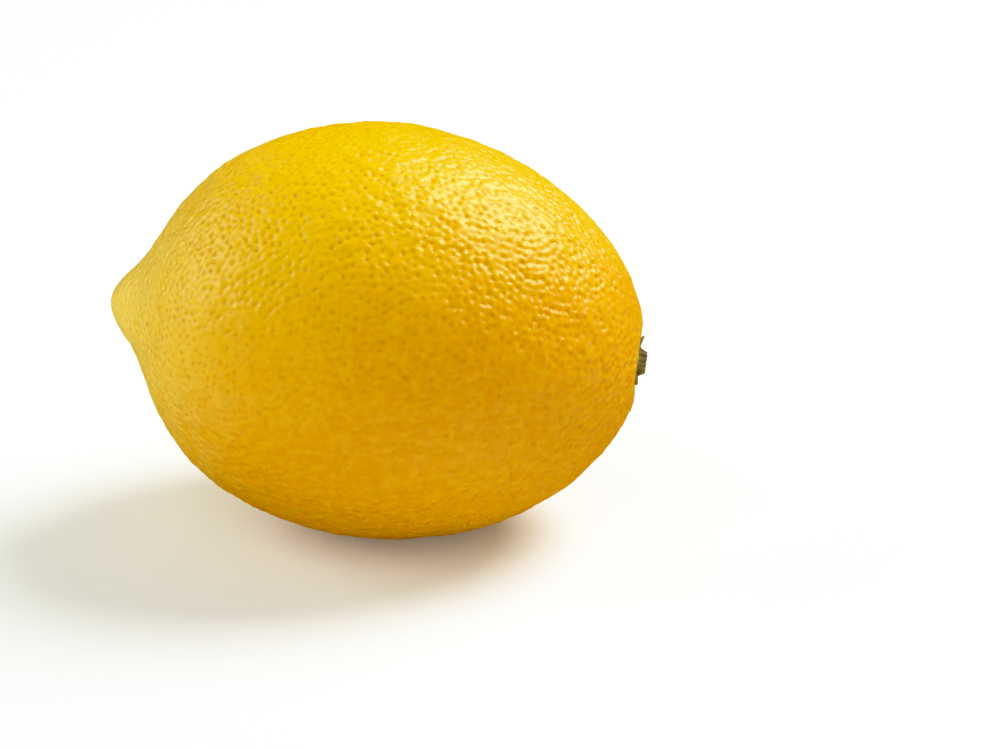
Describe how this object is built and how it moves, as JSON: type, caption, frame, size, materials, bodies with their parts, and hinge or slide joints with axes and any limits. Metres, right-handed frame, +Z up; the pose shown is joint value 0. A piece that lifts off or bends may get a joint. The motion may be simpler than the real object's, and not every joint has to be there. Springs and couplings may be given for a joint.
{
  "type": "lemon",
  "caption": "Whole ripe lemon lying on its side on a small flat spot, with a rounded nipple at one end and a dry clipped stem button at the other.",
  "frame": {"origin": "on the resting plane, below the middle of the part's box", "axes": "+Z up, X along the fruit's length with the nipple towards -X and the stem end towards +X"},
  "size_m": [0.0786, 0.0618, 0.0607],
  "materials": {
    "lemon_peel": "waxy yellow citrus peel, dimpled with oil glands, satin gloss",
    "dry_calyx": "dry, matt, olive brown"
  },
  "bodies": {
    "root": {"lemon": "lemon_peel", "stem_button": "dry_calyx"}
  },
  "joints": []
}
